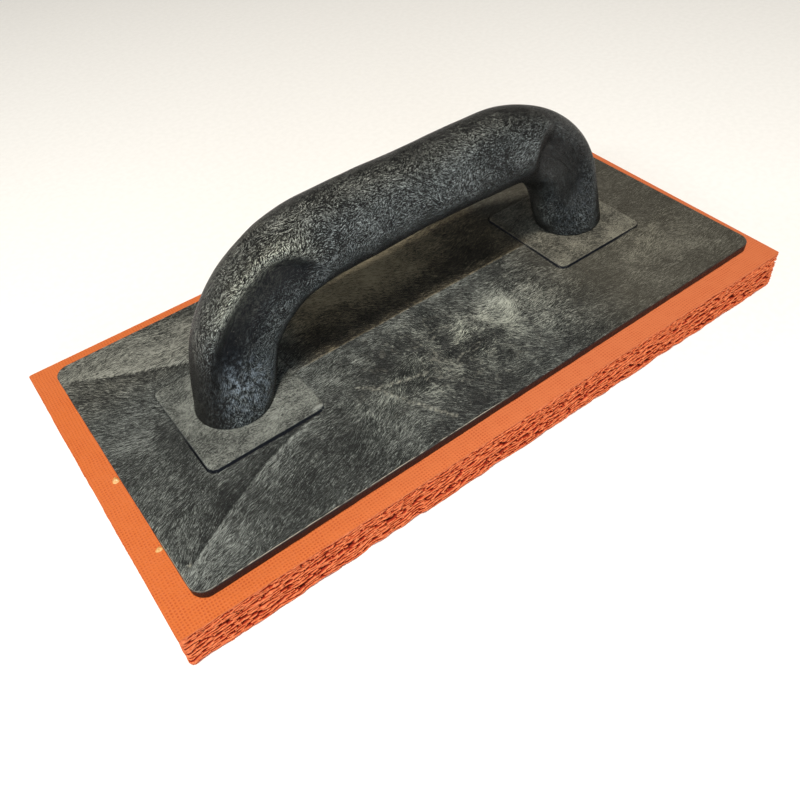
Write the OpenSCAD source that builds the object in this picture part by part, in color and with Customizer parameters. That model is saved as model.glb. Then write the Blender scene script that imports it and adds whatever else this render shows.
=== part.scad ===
// Plasterer's float: sponge rubber pad, moulded plastic plate and a bridge handle held by hidden screws.
// The working face of the pad lies on z = 0, +X runs along the float and +Z points up to the handle.

/* [Sponge rubber pad] */
// Length of the pad
pad_l = 280; // [240:1:320]
// Width of the pad
pad_w = 140; // [120:1:180]
// Thickness of the pad
pad_h = 16.5; // [8:0.5:30]
// Radius of the pad's upright corner edges
pad_corner_r = 1; // [0.5:0.5:4]

/* [Float plate] */
// Length of the moulded plate
plate_l = 265.5; // [250:0.5:275]
// Width of the moulded plate
plate_w = 124.5; // [105:0.5:135]
// Thickness of the plate at its edge
plate_edge_h = 3.6; // [3:0.1:6]
// Corner radius of the plate in plan
plate_corner_r = 5.5; // [3:0.5:12]
// Rise of the plate's ridge above its edge
ridge_rise = 1.1; // [0.5:0.1:3]
// How far the plate was glued off the pad's centre along X
plate_off_x = 2.1; // [-3:0.1:3]
// How far the plate was glued off the pad's centre along Y
plate_off_y = 0.7; // [-2:0.1:2]
// How far the plate was glued out of square with the pad, in degrees
plate_yaw = 0.7; // [-1:0.1:1]

/* [Handle seats] */
// Length of each square seat
seat_l = 47; // [42:0.5:50]
// Width of each square seat
seat_w = 48; // [34:0.5:56]
// Corner radius of a seat
seat_r = 3; // [1:0.5:6]
// Height of a seat's top above the plate's edge
seat_rise = 1.3; // [1.2:0.1:4]
// Distance of the left seat's centre from the middle of the plate
seat_left_x = 83.8; // [80:0.1:86]
// Distance of the right seat's centre from the middle of the plate
seat_right_x = 81; // [80:0.1:86]

/* [Handle] */
// Distance of each foot's centre from the middle of the handle
foot_x = 84.8; // [80:0.1:88]
// Sideways offset of the handle on the plate
handle_off_y = 0.7; // [-1.5:0.1:1.5]
// Height of the grip's axis above the seats, at the ends of the grip
grip_h = 50; // [46:0.5:60]
// Further rise of the grip's axis at mid-length
grip_arch = 1.5; // [0:0.1:4]
// Angle that each leg leans in, in degrees
leg_lean = 16; // [10:0.5:20]
// Radius of the bend between leg and grip, on the axis
bend_r = 42; // [34:0.5:44]
// Half thickness of a leg in the plane of the handle
leg_half_x = 15.4; // [13:0.1:17]
// Half width of a leg across the handle
leg_half_y = 12.7; // [11:0.1:16]
// Extra half width where a leg spreads at its foot
foot_spread = 1.5; // [0:0.1:3]
// Half thickness of the grip in the plane of the handle
grip_half_z = 14; // [11:0.1:17]
// How much thinner the grip is at mid-length, on each side
grip_waist = 0.9; // [0:0.1:2]
// Half width of the grip across the handle
grip_half_y = 16.3; // [12:0.1:18]

/* [Thumb scoops] */
// Depth of the scoop in each side of each leg
scoop_depth = 5.5; // [0:0.1:6]
// Distance along the leg, from its foot, to the middle of the scoop's round upper end
scoop_end = 56; // [45:1:60]
// Half width of the scoop
scoop_half = 13.4; // [10:0.1:14]

/* [Screws] */
// Outer diameter of the thread
screw_d = 5; // [4:0.1:5.5]
// Length of a screw over its countersunk head
screw_l = 28; // [20:0.5:30]
// Diameter of the countersunk head
screw_head_d = 9.6; // [8:0.1:10]
// Pitch of the thread
screw_pitch = 1.8; // [1.2:0.1:2.5]
// Distance of each screw pair's centre from the middle of the handle
screw_pair_x = 81.8; // [80.5:0.1:83]
// Spacing of the two screws under one foot
screw_gap = 11; // [10.6:0.1:12]

/* [Glue] */
// Thickness of the glue film between pad and plate
glue_h = 0.2; // [0.1:0.05:0.5]
// How far the film stays inside the plate's edge
glue_inset = 2; // [1:0.5:5]
// Radius of the dried drops that were pressed out at the left end
glue_drop_r = 1.5; // [1:0.1:2]

/* [Hidden] */

rubber_orange = [0.86, 0.36, 0.17];
plastic_black = [0.13, 0.13, 0.125];
zinc_grey = [0.66, 0.67, 0.68];
glue_amber = [0.85, 0.66, 0.36];

round_fn = 48;

// Heights above the plate's underside
seat_top = plate_edge_h + seat_rise;

// Handle axis: a straight leg, a circular bend and half of the grip, mirrored about x = 0
deg = PI / 180;
leg_len = (grip_h - bend_r * (1 - sin(leg_lean))) / cos(leg_lean);
bend_len = bend_r * (90 - leg_lean) * deg;
side_len = leg_len + bend_len;
bend_cx = foot_x - leg_len * sin(leg_lean) - bend_r * cos(leg_lean);
bend_cz = grip_h - bend_r;
half_len = side_len + bend_cx;

// Rings along the axis of one half, and points round each ring
leg_rings = 5;
bend_rings = 16;
grip_rings = 4;
ring_points = 40;

// Shape of the scoop across the leg: where its floor is deepest, and how far it takes to fade inwards
scoop_mid = -1;
scoop_wall = 8;
scoop_fade_from = 3.4;
scoop_fade = 18;
scoop_round = 14;
scoop_foot = 3;
scoop_ramp = 22;

// Screw proportions
screw_core_d = 0.68 * screw_d;
screw_point_l = 4;
screw_shank_l = 3;
screw_rim_h = 0.3;
screw_cone_h = (screw_head_d - screw_d) / 2;
screw_hole_clear = 0.2;
pilot_clear = 0.05;
pilot_l = screw_l - seat_top + 1.5;
recess_depth = 2.2;
recess_w = 1;
recess_span = 4.6;

// Places along Y of the two dried glue drops
glue_drop_y = [-0.5, -36.5];
glue_drop_gap = 0.2;

function clamp(v, lo, hi) = max(lo, min(hi, v));
function smooth(t) = let (u = clamp(t, 0, 1)) u * u * (3 - 2 * u);

// Axis of the right half of the handle at a distance s from the foot: [x, z, angle of the outward normal]
function axis_at(s) =
    s < leg_len ? [foot_x - s * sin(leg_lean), s * cos(leg_lean), leg_lean] :
    s < side_len ? let (a = leg_lean + (s - leg_len) / bend_r / deg)
        [bend_cx + bend_r * cos(a), bend_cz + bend_r * sin(a), a] :
    [half_len - s, grip_h, 90];

// Slow upward bow of the grip
function bow(x, z) = grip_arch * pow(cos(90 * x / foot_x), 2) * clamp(z / 40, 0, 1);

function grip_blend(s) = smooth((s - 0.15 * side_len) / (0.85 * side_len));
function waist_at(s) = grip_waist * pow(smooth((s - side_len) / bend_cx), 2);
function half_thick(s) = leg_half_x + (grip_half_z - leg_half_x) * grip_blend(s) - waist_at(s);
function half_wide(s) = leg_half_y + (grip_half_y - leg_half_y) * grip_blend(s)
    + foot_spread * exp(-pow(s / 7, 2));

// Depth of the thumb scoop at a distance s along the axis and v outward from it
function scoop_at(s, v) =
    let (edge = norm([(v - scoop_mid) / scoop_half, max(0, s - scoop_end) / scoop_round]))
    let (wall = clamp((1 - edge) * scoop_half / scoop_wall, 0, 1))
    let (fade = clamp((scoop_fade_from - v) / scoop_fade, 0, 1))
    scoop_depth * wall * (2 - wall) * pow(cos(90 * fade), 2) * smooth((s - scoop_foot) / scoop_ramp);

// One ring of handle points at a distance s from the foot, on the side given by sgn
function ring(s, sgn) = [
    for (i = [0 : ring_points - 1])
        let (p = axis_at(s))
        let (phi = 360 * i / ring_points)
        let (v = half_thick(s) * cos(phi))
        let (w = half_wide(s) * sin(phi))
        let (side = sign(w) * max(0, abs(w) - scoop_at(s, v)))
        [sgn * (p[0] + v * cos(p[2])), side, p[1] + bow(p[0], p[1]) + v * sin(p[2]) * smooth(s / 12)]
];

function half_steps() = concat(
    [for (i = [0 : leg_rings - 1]) leg_len * i / leg_rings],
    [for (i = [0 : bend_rings - 1]) leg_len + bend_len * i / bend_rings],
    [for (i = [0 : grip_rings - 1]) side_len + bend_cx * i / grip_rings]
);

// Rounded rectangle in plan, centred, with true arcs
module rounded_rect(l, w, r) {
    square([l - 2 * r, w], center = true);
    square([l, w - 2 * r], center = true);
    for (x = [-1, 1], y = [-1, 1])
        translate([x * (l / 2 - r), y * (w / 2 - r)])
            circle(r = r, $fn = round_fn);
}

// Places the plate and all that is fixed to it on the glue film
module on_glue() {
    translate([plate_off_x, plate_off_y, pad_h + glue_h])
        rotate(plate_yaw)
            children();
}

module on_seats() {
    on_glue()
        translate([0, handle_off_y, seat_top])
            children();
}

// Runs its children at each of the four screw places
module at_screws() {
    for (side = [-1, 1], place = [-1, 1])
        translate([side * screw_pair_x + place * screw_gap / 2, handle_off_y, 0])
            children();
}

module sponge_pad() {
    color(rubber_orange)
        linear_extrude(pad_h)
            rounded_rect(pad_l, pad_w, pad_corner_r);
}

module glue_film() {
    drop_x = plate_l / 2 + glue_drop_r + glue_drop_gap;
    color(glue_amber)
        translate([plate_off_x, plate_off_y, pad_h])
            rotate(plate_yaw) {
                linear_extrude(glue_h)
                    rounded_rect(plate_l - 2 * glue_inset, plate_w - 2 * glue_inset, plate_corner_r);
                for (y = glue_drop_y) {
                    translate([-drop_x, y - glue_drop_r / 2, 0])
                        cube([glue_inset + 2 * glue_drop_r, glue_drop_r, glue_h]);
                    translate([-drop_x, y, 0])
                        cylinder(h = 0.9, r1 = glue_drop_r, r2 = glue_drop_r / 2, $fn = round_fn);
                }
            }
}

// Low hipped roof that runs up from the plate's edge to the ridge between the seats
module plate_roof() {
    eaves = 2;
    ridge_l = seat_left_x + seat_right_x - seat_l;
    ridge_x = (seat_right_x - seat_left_x) / 2;
    hull() {
        translate([0, 0, plate_edge_h - 1])
            linear_extrude(1)
                rounded_rect(plate_l - eaves, plate_w - eaves, plate_corner_r - eaves / 2);
        translate([ridge_x - ridge_l / 2, -0.05, plate_edge_h])
            cube([ridge_l, 0.1, ridge_rise]);
    }
}

module float_plate() {
    color(plastic_black)
        on_glue()
            difference() {
                union() {
                    linear_extrude(plate_edge_h)
                        rounded_rect(plate_l, plate_w, plate_corner_r);
                    plate_roof();
                    for (x = [-seat_left_x, seat_right_x])
                        translate([x, 0, 1])
                            linear_extrude(seat_top - 1)
                                rounded_rect(seat_l, seat_w, seat_r);
                }
                at_screws()
                    screw_hole();
            }
}

// Clearance hole with a countersink that opens at the plate's underside
module screw_hole() {
    hole_r = screw_d / 2 + screw_hole_clear;
    head_r = screw_head_d / 2 + screw_hole_clear;
    translate([0, 0, -1])
        cylinder(h = seat_top + 2, r = hole_r, $fn = round_fn);
    translate([0, 0, screw_rim_h])
        cylinder(h = head_r - hole_r, r1 = head_r, r2 = hole_r, $fn = round_fn);
    translate([0, 0, -1])
        cylinder(h = 1 + screw_rim_h, r = head_r, $fn = round_fn);
}

module handle() {
    steps = half_steps();
    count = len(steps);
    left = [for (s = steps) ring(s, -1)];
    middle = [ring(half_len, 1)];
    right = [for (i = [count - 1 : -1 : 0]) ring(steps[i], 1)];
    // The left half is mirrored, so its points run the same way round once the order is kept by side
    rings = concat(left, middle, right);
    last = len(rings) - 1;
    faces = concat(
        [[for (j = [0 : ring_points - 1]) j]],
        [for (i = [0 : last - 1], j = [0 : ring_points - 1])
            let (k = (j + 1) % ring_points)
            each [
                [i * ring_points + j, (i + 1) * ring_points + j, i * ring_points + k],
                [i * ring_points + k, (i + 1) * ring_points + j, (i + 1) * ring_points + k]
            ]],
        [[for (j = [ring_points - 1 : -1 : 0]) last * ring_points + j]]
    );
    color(plastic_black)
        on_seats()
            difference() {
                polyhedron(points = [for (r = rings) each r], faces = faces, convexity = 6);
                translate([0, -handle_off_y, -1])
                    at_screws()
                        cylinder(h = pilot_l + 1, r = screw_d / 2 + pilot_clear, $fn = round_fn);
            }
}

// Countersunk thread-forming screw, head down, with its head flush with the plate's underside
module screw(side, place) {
    turns = floor((screw_l - screw_rim_h - screw_cone_h - screw_shank_l - screw_point_l) / screw_pitch);
    thread_z = screw_rim_h + screw_cone_h + screw_shank_l;
    core_r = screw_core_d / 2;
    profile = concat(
        [[0, 0], [screw_head_d / 2, 0], [screw_head_d / 2, screw_rim_h],
         [screw_d / 2, screw_rim_h + screw_cone_h], [core_r, screw_rim_h + screw_cone_h + 0.6]],
        [for (i = [0 : turns - 1])
            each [
                [core_r, thread_z + i * screw_pitch],
                [screw_d / 2, thread_z + (i + 0.45) * screw_pitch],
                [screw_d / 2, thread_z + (i + 0.55) * screw_pitch]
            ]],
        [[core_r, thread_z + turns * screw_pitch], [0, screw_l]]
    );
    color(zinc_grey)
        on_glue()
            translate([side * screw_pair_x + place * screw_gap / 2, handle_off_y, 0])
                difference() {
                    rotate_extrude($fn = round_fn)
                        polygon(profile);
                    for (a = [0, 90])
                        rotate(a)
                            translate([-recess_span / 2, -recess_w / 2, -1])
                                cube([recess_span, recess_w, 1 + recess_depth]);
                }
}

module screw_left_outer() { screw(-1, -1); }
module screw_left_inner() { screw(-1, 1); }
module screw_right_inner() { screw(1, -1); }
module screw_right_outer() { screw(1, 1); }

sponge_pad();
glue_film();
float_plate();
handle();
screw_left_outer();
screw_left_inner();
screw_right_inner();
screw_right_outer();
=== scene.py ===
"""Looks of the sponge rubber hand float: detailed pieces, materials, floor, light and camera.

Working units are millimetres in the row frame, turned into metres when a mesh is made.
"""
import math

import bpy
import numpy as np
from mathutils import Matrix, Vector


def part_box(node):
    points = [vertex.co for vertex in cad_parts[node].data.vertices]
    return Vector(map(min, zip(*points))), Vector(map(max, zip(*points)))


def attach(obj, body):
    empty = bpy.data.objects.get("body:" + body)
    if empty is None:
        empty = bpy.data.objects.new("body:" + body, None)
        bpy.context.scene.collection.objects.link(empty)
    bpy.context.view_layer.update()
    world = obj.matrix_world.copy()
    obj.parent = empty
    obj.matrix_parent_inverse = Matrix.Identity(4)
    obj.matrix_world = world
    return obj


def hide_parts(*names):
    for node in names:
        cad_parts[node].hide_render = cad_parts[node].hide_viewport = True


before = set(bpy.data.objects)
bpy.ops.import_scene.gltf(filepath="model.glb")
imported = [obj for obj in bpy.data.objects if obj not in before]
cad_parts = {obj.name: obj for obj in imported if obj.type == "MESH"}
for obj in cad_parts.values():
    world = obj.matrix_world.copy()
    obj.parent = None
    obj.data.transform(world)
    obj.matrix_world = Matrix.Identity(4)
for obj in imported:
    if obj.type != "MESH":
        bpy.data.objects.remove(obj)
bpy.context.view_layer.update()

MM = 0.001
SEED = 20611

# ---------------------------------------------------------------- sizes of the float, in millimetres

PLATE_L, PLATE_W, PLATE_R = 265.5, 124.5, 5.5
PLATE_EDGE_H = 3.6
PLATE_YAW = math.radians(0.7)
RIDGE_RISE = 1.1
SEAT_L, SEAT_W, SEAT_R, SEAT_RISE = 47.0, 48.0, 3.0, 1.3
SEAT_X = (-83.8, 81.0)
HANDLE_OFF_Y = 0.7

FOOT_X, LEG_LEAN = 84.8, math.radians(16)
GRIP_H, GRIP_ARCH, BEND_R = 50.0, 1.5, 42.0
LEG_HALF_X, LEG_HALF_Y, FOOT_SPREAD = 15.4, 12.7, 1.5
GRIP_HALF_Z, GRIP_HALF_Y, GRIP_WAIST = 14.0, 16.3, 0.9
SCOOP_DEPTH, SCOOP_END, SCOOP_HALF, SCOOP_ROUND = 5.7, 53.0, 13.4, 14.0
SCOOP_MID, SCOOP_WALL, SOFT_SCOOP_WALL = -1.0, 6.0, 9.0
SCOOP_FADE_FROM, SCOOP_FADE = 3.4, 18.0
SCOOP_FOOT, SCOOP_RAMP = 3.0, 22.0


def box_mm(node):
    """The lowest and highest corner of a CAD piece, in millimetres."""
    low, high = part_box(node)
    return np.array(low) / MM, np.array(high) / MM


PAD_LOW, PAD_HIGH = box_mm("sponge_pad")
PLATE_LOW, PLATE_HIGH = box_mm("float_plate")
PLATE_MID = (PLATE_LOW + PLATE_HIGH) / 2
PLATE_BASE = PLATE_LOW[2]
PLATE_TOP = PLATE_BASE + PLATE_EDGE_H
SEAT_TOP = PLATE_TOP + SEAT_RISE


# ---------------------------------------------------------------- small maths helpers

def smooth(t):
    """0 below t = 0 and 1 above t = 1, with a soft rise between."""
    t = np.clip(t, 0, 1)
    return t * t * (3 - 2 * t)


def bump(d, radius):
    """1 at d = 0, falling smoothly to 0 at radius."""
    return smooth(1 - np.abs(d) / radius)


def waves(rng, count, shortest, longest, dims):
    """A smooth random function with values of about -1 to 1, made of sine waves of these lengths."""
    lengths = np.exp(rng.uniform(math.log(shortest), math.log(longest), count))
    directions = rng.normal(size=(count, dims))
    directions /= np.linalg.norm(directions, axis=1)[:, None]
    phases = rng.uniform(0, 2 * math.pi, count)
    weights = np.sqrt(lengths / longest)
    weights /= math.sqrt((weights ** 2).sum() / 2) * 1.6

    def at(*coords):
        total = 0
        for k in range(count):
            along = sum(directions[k, i] * coords[i] for i in range(dims))
            total = total + weights[k] * np.sin(2 * math.pi * along / lengths[k] + phases[k])
        return total

    return at


def rounded_loop(length, width, radius, count):
    """Evenly spaced points round a rounded rectangle, anticlockwise, with outward normals and distances."""
    straight_x, straight_y = length - 2 * radius, width - 2 * radius
    arc = math.pi / 2 * radius
    total = 2 * (straight_x + straight_y) + 4 * arc
    t = np.arange(count) * total / count
    points, normals = np.zeros((count, 2)), np.zeros((count, 2))
    start = 0.0
    corners = [(1, -1, -90), (1, 1, 0), (-1, 1, 90), (-1, -1, 180)]
    for k, (sx, sy, turn) in enumerate(corners):
        run = straight_x if k % 2 == 0 else straight_y
        a = math.radians(turn)
        out, ahead = np.array([math.cos(a), math.sin(a)]), np.array([-math.sin(a), math.cos(a)])
        centre = np.array([sx * straight_x / 2, sy * straight_y / 2])
        on_line = (t >= start) & (t < start + run)
        d = (t[on_line] - start)[:, None]
        points[on_line] = centre + out * radius - ahead * (run - d)
        normals[on_line] = out
        start += run
        on_arc = (t >= start) & (t < start + arc)
        turned = a + (t[on_arc] - start) / radius
        normals[on_arc] = np.c_[np.cos(turned), np.sin(turned)]
        points[on_arc] = centre + radius * normals[on_arc]
        start += arc
    return points, normals, t


def to_row(points):
    """From the plate's own frame, centred on it and square to it, to the row frame."""
    c, s = math.cos(PLATE_YAW), math.sin(PLATE_YAW)
    out = np.array(points, float)
    out[:, 0] = points[:, 0] * c - points[:, 1] * s + PLATE_MID[0]
    out[:, 1] = points[:, 0] * s + points[:, 1] * c + PLATE_MID[1]
    return out


def ring_faces(rings):
    """Quads between neighbouring closed rings, given as arrays of vertex numbers of equal length."""
    faces = []
    for a, b in zip(rings, rings[1:]):
        faces += np.c_[a, np.roll(a, -1), np.roll(b, -1), b].tolist()
    return faces


def capped_faces(numbers):
    """Quads between the rings of a closed tube, and one flat face over each of its two ends."""
    return ring_faces(list(numbers)) + [numbers[-1].tolist(), numbers[0][::-1].tolist()]


def make_piece(name, points, faces, material, values_by_name, sharp):
    """A mesh object from points in millimetres, with an edge wherever faces meet at over sharp degrees.

    The named values, one per point, are there for the material.
    """
    mesh = bpy.data.meshes.new(name)
    mesh.from_pydata((np.asarray(points) * MM).tolist(), [], faces)
    mesh.validate()
    for key, values in values_by_name.items():
        values = np.asarray(values, np.float32)
        kind = "FLOAT_VECTOR" if values.ndim == 2 else "FLOAT"
        layer = mesh.attributes.new(key, kind, "POINT")
        layer.data.foreach_set("vector" if values.ndim == 2 else "value", values.ravel())
    mesh.polygons.foreach_set("use_smooth", np.ones(len(mesh.polygons), bool))
    mesh.set_sharp_from_angle(angle=math.radians(sharp))
    mesh.materials.append(material)
    piece = bpy.data.objects.new(name, mesh)
    bpy.context.scene.collection.objects.link(piece)
    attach(piece, "root")
    return piece


# ---------------------------------------------------------------- sponge rubber pad

PAD_L, PAD_W, PAD_H = PAD_HIGH - PAD_LOW
PAD_R = 1.0
PAD_STEP = 0.78
PAD_ROWS = 82
SKIN = 0.5
# the cells are small in a band under the skin; below it their layers lie further apart and they are deeper
FINE_BAND = 3.6
FIRST_LAYER, LAYER_STEP, LAYER_STEP_LOW = 0.55, 0.84, 0.38
CELL_DEEP, CELL_DEEP_LOW = 1.3, 1.4
FLARE, WORN, DEEPEST = 0.75, 0.35, 3.4
# how far in from the edge the rings of the flat top and bottom lie
TOP_INSETS, BOTTOM_INSETS = (0.6, 1.6, 3.0), (6.0, 4.2)


def pad_pores(rng, outline, around, heights):
    """How far each point of the cut sides is pushed in by the sponge's cells, in millimetres.

    The cells lie in wavy layers, as the rubber rose between the press plates. They are small under the
    skin and longer and deeper further down, and longer and a little thinner towards the right end.
    """
    total = around[-1] + around[1]
    depth = np.zeros((len(heights), len(around)))
    level = FIRST_LAYER
    while level < PAD_H - SKIN - 0.2:
        low = smooth((PAD_H - FINE_BAND - level) / 2.5)
        coarse = low * smooth((level - 0.4) / 2.0)
        t = rng.uniform(0, 3)
        while t < total - 1:
            x = outline[int(t / PAD_STEP) % len(around), 0]
            length = rng.uniform(1.0, 3.2) + coarse * rng.gamma(1.6, 1.2)
            length *= 1 + 0.5 * smooth((x - 20) / 80)
            thinner = 1 - 0.08 * smooth((x + 10) / 110)
            half_h = thinner * (rng.uniform(0.25, 0.42) + coarse * rng.uniform(0.03, 0.30))
            deep = thinner * (CELL_DEEP + CELL_DEEP_LOW * coarse) * rng.uniform(0.6, 1.2)
            place = level + rng.normal(0, 0.24)
            add_slot(rng, depth, around, heights, t + length / 2, place, length / 2, half_h, deep)
            t += length + rng.uniform(-0.2, 0.8)
        level += LAYER_STEP + LAYER_STEP_LOW * low
    return depth


def add_slot(rng, depth, around, heights, middle, level, half_l, half_h, deep):
    """Presses one torn cell into the side: a leaning, slightly wavy slot with steep walls."""
    total = around[-1] + around[1]
    tilt = rng.normal(0.05, 0.09)
    wobble, turn = rng.uniform(0, 0.22), rng.uniform(0, 2 * math.pi)
    reach = int(half_l / PAD_STEP) + 2
    centre = int(middle / PAD_STEP)
    cols = np.arange(centre - reach, centre + reach + 1) % len(around)
    dt = (around[cols] - middle + total / 2) % total - total / 2
    line = level + tilt * dt + wobble * np.sin(dt * 1.7 + turn)
    r2 = (dt / half_l)[None, :] ** 2 + ((heights[:, None] - line[None, :]) / half_h) ** 2
    depth[:, cols] = np.maximum(depth[:, cols], deep * np.sqrt(np.clip(1 - r2, 0, 1)))


def pad_side(rng, outline, normal, high, pits):
    """The rings of the pad's cut sides, from the floor up, at the heights in the column high."""
    rough = waves(rng, 30, 1.2, 9, 3)
    drift = waves(rng, 14, 12, 90, 2)
    lift = waves(rng, 20, 3, 30, 2)
    x, y = outline.T[:, None, :]
    down = 1 - high / PAD_H
    inward = pits + 0.12 * (rough(x, y, high * 2.5) + 1) * smooth((PAD_H - high) / SKIN)
    inward = inward + 0.16 * (drift(x, y + high * 4) + 0.3) * down
    inward = inward + 0.30 * (lift(x * 0.7 + 9, y * 0.7) + 0.2) * down ** 2
    # the cut side flares out a little towards the floor
    flare = FLARE * down ** 1.5
    inward = np.clip(inward - flare, -flare, DEEPEST)
    # the bottom edge is worn round and wavy
    inward = inward + WORN * smooth(1 - high / 1.2) ** 2
    raised = np.clip(0.30 * lift(x, y), 0, 0.6) * smooth(1 - high / 2.2)
    return np.dstack([outline[None] - normal[None] * inward[..., None], high + raised])


def sponge_pad(material):
    rng = np.random.default_rng(SEED)
    perimeter = 2 * (PAD_L + PAD_W) - 8 * PAD_R + 2 * math.pi * PAD_R
    count = int(perimeter / PAD_STEP)
    outline, normal, around = rounded_loop(PAD_L, PAD_W, PAD_R, count)
    heights = np.linspace(0, PAD_H, PAD_ROWS)
    high = heights[:, None]
    below_skin = smooth((PAD_H - high) / SKIN)
    pits = pad_pores(rng, outline, around, heights) * below_skin
    side = pad_side(rng, outline, normal, high, pits)

    half = np.array([PAD_L, PAD_W]) / 2
    bottom = [np.c_[outline * (1 - inset / half), np.zeros(count)] for inset in BOTTOM_INSETS]
    top = [np.c_[outline * (1 - inset / half), np.full(count, PAD_H)] for inset in TOP_INSETS]
    rings = bottom + list(side) + top
    points = np.concatenate(rings)
    points[:, :2] += ((PAD_LOW + PAD_HIGH) / 2)[:2]
    points[:, 2] += PAD_LOW[2]
    faces = capped_faces(np.arange(len(points)).reshape(len(rings), count))
    padding = ((len(bottom), len(top)), (0, 0))
    extra = {
        "pore": np.pad(pits, padding).ravel(),
        "cut": np.pad(np.repeat(below_skin, count, 1), padding).ravel()}
    piece = make_piece("sponge_rubber_pad", points, faces, material, extra, 75)
    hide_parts("sponge_pad")


# ---------------------------------------------------------------- plate

# how far the rim of the plate's top lies inside the plate's outline
RIM = 0.9
TOP_X, TOP_Y, TOP_R = PLATE_L / 2 - RIM, PLATE_W / 2 - RIM, PLATE_R - RIM
# the length of each end in which the grid is squeezed to follow the corners
SQUEEZED = 8
RIGHT_SHORT = 1.9
EAVE = PLATE_W / 2 - 2
PARTING_Y, PARTING_HALF = -1.2, 0.7
LEFT_CREASE_X, RIGHT_CREASE_X = -67, 80
EAR_X, EAR_Y, EAR_HALF_X, EAR_HALF_Y, EAR_RISE = -62.8, -22.5, 3.4, 1.3, 0.7
GROOVE, GROOVE_MID, GROOVE_HALF = 0.6, 0.30, 0.27
BURR_LEAST, BURR_MORE = 0.05, 0.15
GRID_STEP = 1.0
# where the lines of the grid lie at a crisp edge, as distances outward of it
EDGE_LINES = np.array([
    -2.4, -1.8, -1.3, -0.9, -0.6, -0.4, -0.25, -0.1, 0.02, 0.14, 0.3, 0.46, 0.62, 0.9, 1.4, 2.0])
EDGE_REACH = 2.6
# the plate's side, downward: distance outward of its top's rim, height, share of the burr and of its
# painted highlight
SIDE_PROFILE = (
    (0.34, PLATE_TOP + 0.02, 0.0, 0.0),
    (0.50, PLATE_TOP, 0.1, 0.0),
    (0.60, PLATE_TOP, 0.9, 1.0),
    (0.70, PLATE_TOP - 0.08, 0.3, 0.1),
    (0.84, PLATE_TOP - 0.22, 0.0, 0.0),
    (RIM, PLATE_TOP - 0.45, 0.0, 0.0),
    (RIM, PLATE_TOP - 1.2, 0.0, 0.0),
    (RIM, PLATE_TOP - 2.2, 0.0, 0.0),
    (RIM, PLATE_BASE + 0.3, 0.0, 0.0),
    (0.70, PLATE_BASE, 0.0, 0.0),
)


def crease_y(outward, length, start, end, power):
    """Half-width of the end facet, at this distance outward from where its two creases begin."""
    return start + (end - start) * np.clip(outward / length, 0, 1.2) ** power


def left_crease(x):
    return crease_y(LEFT_CREASE_X - x, 64, 25.0, 53.0, 1.4)


def right_crease(x):
    return crease_y(x - RIGHT_CREASE_X, 50, 25.0, 61.0, 1.0)


def roof_slope(from_ridge):
    """Height of a facet of the roof whose place is this far from the ridge."""
    return RIDGE_RISE * np.clip(1 - from_ridge / EAVE, 0, 1)


def roof_height(x, y):
    """Height of the plate's low hipped roof over its edge."""
    left = left_crease(x)
    side = roof_slope(np.abs(y))
    top = np.where(x < LEFT_CREASE_X, np.minimum(side, roof_slope(left)), side)
    top = np.where(x > RIGHT_CREASE_X, np.minimum(top, roof_slope(right_crease(x))), top)
    # the end facets are gently dished round the seats
    dish = 0.28 * np.exp(-((x + 114) / 9) ** 2 - (y / 24) ** 2)
    dish = dish + 0.16 * np.exp(-((x - 113) / 9) ** 2 - (y / 30) ** 2)
    inside = left - np.abs(y)
    dish = dish + 0.3 * bump(inside - 2.5, 5) * smooth((-66 - x) / 12) * smooth((132 + x) / 16)
    return top - dish


def crease_tone(x, y):
    """The creases catch the light: the left ones are dark inside and pale outside, the right ones pale."""
    inside = left_crease(x) - np.abs(y)
    reach = smooth((-64 - x) / 6) * smooth((134 + x) / 10)
    dark = np.exp(-np.maximum(inside, 0) / 2.2) + 0.25 * smooth(1 - inside / 14)
    dark = dark * smooth((inside + 0.4) / 1.0)
    pale = smooth((0.4 - inside) / 0.8) * np.exp(np.minimum(inside, 0) / 3.0)
    glow = 0.24 * np.exp(-((np.abs(y) - right_crease(x)) / 3.0) ** 2)
    glow = glow * smooth((x - 96) / 10) * smooth((128 - x) / 10)
    return 0.42 * reach * (pale - dark) + glow


def drawn_in(x):
    """How much shorter the plate's right end is than the left one, at this place along it."""
    return RIGHT_SHORT * smooth((x - 106) / 26)


def seat_distance(x, y, centre_x):
    """Distance outside one seat's rounded outline, negative inside."""
    qx = np.abs(x - centre_x) - (SEAT_L / 2 - SEAT_R)
    qy = np.abs(y) - (SEAT_W / 2 - SEAT_R)
    outside = np.hypot(np.maximum(qx, 0), np.maximum(qy, 0))
    return outside + np.minimum(np.maximum(qx, qy), 0) - SEAT_R


def groove_depth(x, y, centre_x):
    """The groove round a seat is crisp, except where the seat melts into the plate, from 0 to 1."""
    if centre_x > 0:
        return 1 - 0.7 * smooth((x - centre_x) / 24)
    inner = 0.9 * smooth((x - centre_x - SEAT_L / 2 + 3) / 3)
    outer = 0.7 * smooth((centre_x - SEAT_L / 2 + 1.5 - x) / 1.5) * smooth((y + 16) / 22)
    return 1 - inner - outer


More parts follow.
